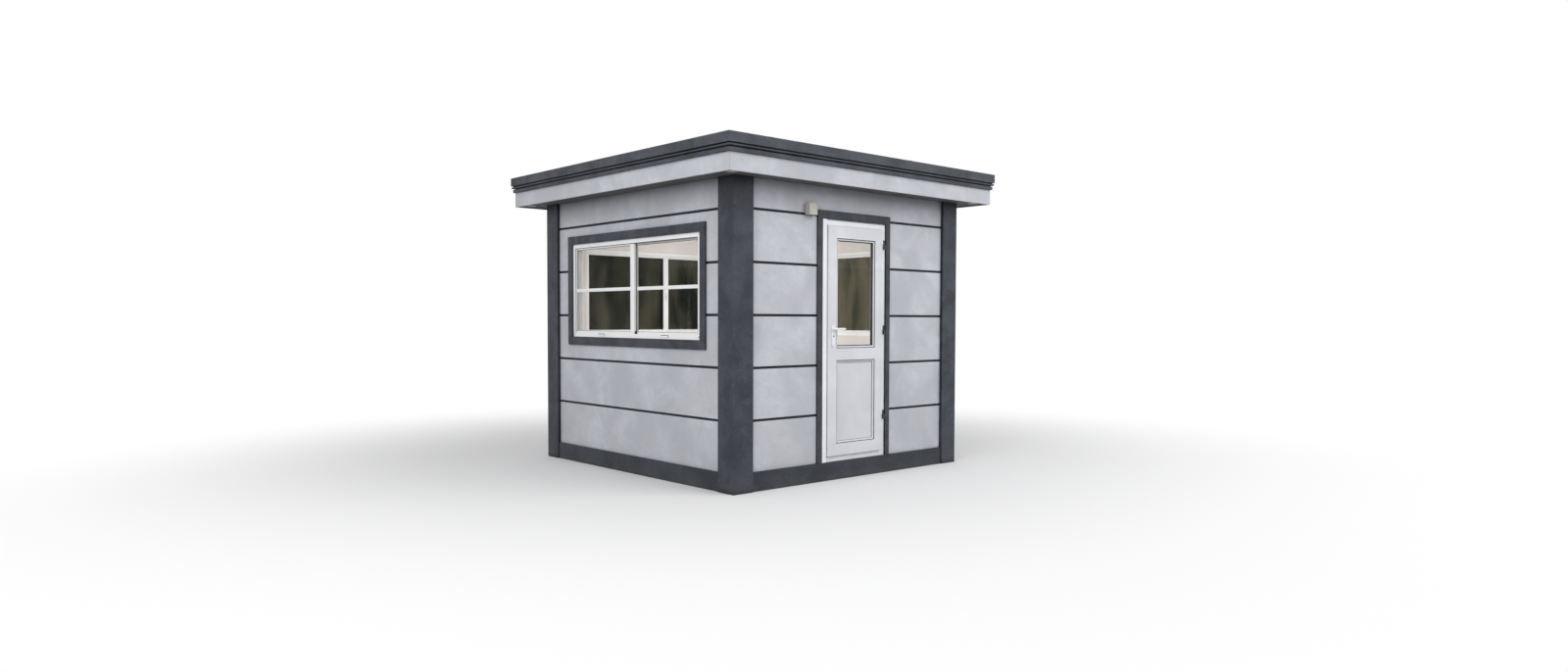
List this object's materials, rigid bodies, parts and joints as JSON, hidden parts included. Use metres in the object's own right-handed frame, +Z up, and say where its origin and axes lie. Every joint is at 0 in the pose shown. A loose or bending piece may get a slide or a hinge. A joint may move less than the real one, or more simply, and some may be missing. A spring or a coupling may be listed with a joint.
{
  "type": "security guard booth",
  "caption": "One-room guard booth on a steel base with cased corner posts, panel-clad walls, sliding windows, a half-glazed hinged door and a flat roof with stepped eaves.",
  "frame": {"origin": "middle of the footprint, on the ground under the corner posts and the base frame", "axes": "+Z up; the door wall faces -Y and the service window wall faces -X; +X runs to the right along the door wall as seen from outside"},
  "size_m": [3.34, 3.52, 2.865],
  "materials": {
    "plinth_paint": "matt dark grey paint",
    "board_wood": "plain wood board",
    "floor_vinyl": "grey floor covering",
    "dark_paint": "satin dark grey coating",
    "core_panel": "insulation core",
    "light_cladding": "light cool grey, faintly mottled",
    "joint_dark": "matt dark grey",
    "cream_lining": "cream wall board",
    "roof_metal": "dark coated sheet",
    "soffit_board": "matt grey board",
    "light_rim": "beige rim",
    "light_lens": "frosted lens",
    "white_plastic": "white window plastic",
    "clear_glass": "clear glass",
    "white_metal": "gloss white coating",
    "grey_plastic": "grey-beige plastic"
  },
  "bodies": {
    "body": {"base_frame": "plinth_paint", "floor_joists": "plinth_paint", "floor_deck": "board_wood", "floor_covering": "floor_vinyl", "corner_posts": "dark_paint", "front_wall_left": "core_panel", "front_wall_right": "core_panel", "front_wall_over": "core_panel", "left_wall": "core_panel", "back_wall": "core_panel", "right_wall": "core_panel", "front_cladding": "light_cladding", "left_cladding": "light_cladding", "back_cladding": "light_cladding", "right_cladding": "light_cladding", "joint_strips": "joint_dark", "wall_linings": "cream_lining", "ceiling": "cream_lining", "roof_frame": "board_wood", "roof_deck": "board_wood", "roof_sheet": "roof_metal", "eaves_moulding": "dark_paint", "fascia": "light_cladding", "soffit": "soffit_board", "soffit_light_rims": "light_rim", "soffit_light_lenses": "light_lens", "window_casings": "dark_paint", "left_window_frame": "white_plastic", "back_window_frame": "white_plastic", "right_window_frame": "white_plastic", "left_window_sashes": "white_plastic", "plain_window_sashes": "white_plastic", "window_glass": "clear_glass", "door_casing": "dark_paint", "door_frame": "white_plastic", "hinges_fixed": "dark_paint", "junction_box": "grey_plastic"},
    "door": {"door_leaf": "white_plastic", "door_glass": "clear_glass", "door_panel": "white_plastic", "door_beads": "white_plastic", "door_plates": "white_metal", "hinges_moving": "white_metal"},
    "handle": {"door_handle": "white_metal"}
  },
  "joints": [
    {"name": "door", "type": "hinge", "parent": "body", "child": "door", "pos_m": [0.3455, -1.506, 0], "axis": [0, 0, 1], "range_deg": [0, 100]},
    {"name": "door_handle", "type": "hinge", "parent": "door", "child": "handle", "pos_m": [-0.296, -1.473, 1.322], "axis": [0, 1, 0], "range_deg": [0, 40], "stiffness_Nm_per_rad": 1.5, "springref_deg": -28.65}
  ]
}
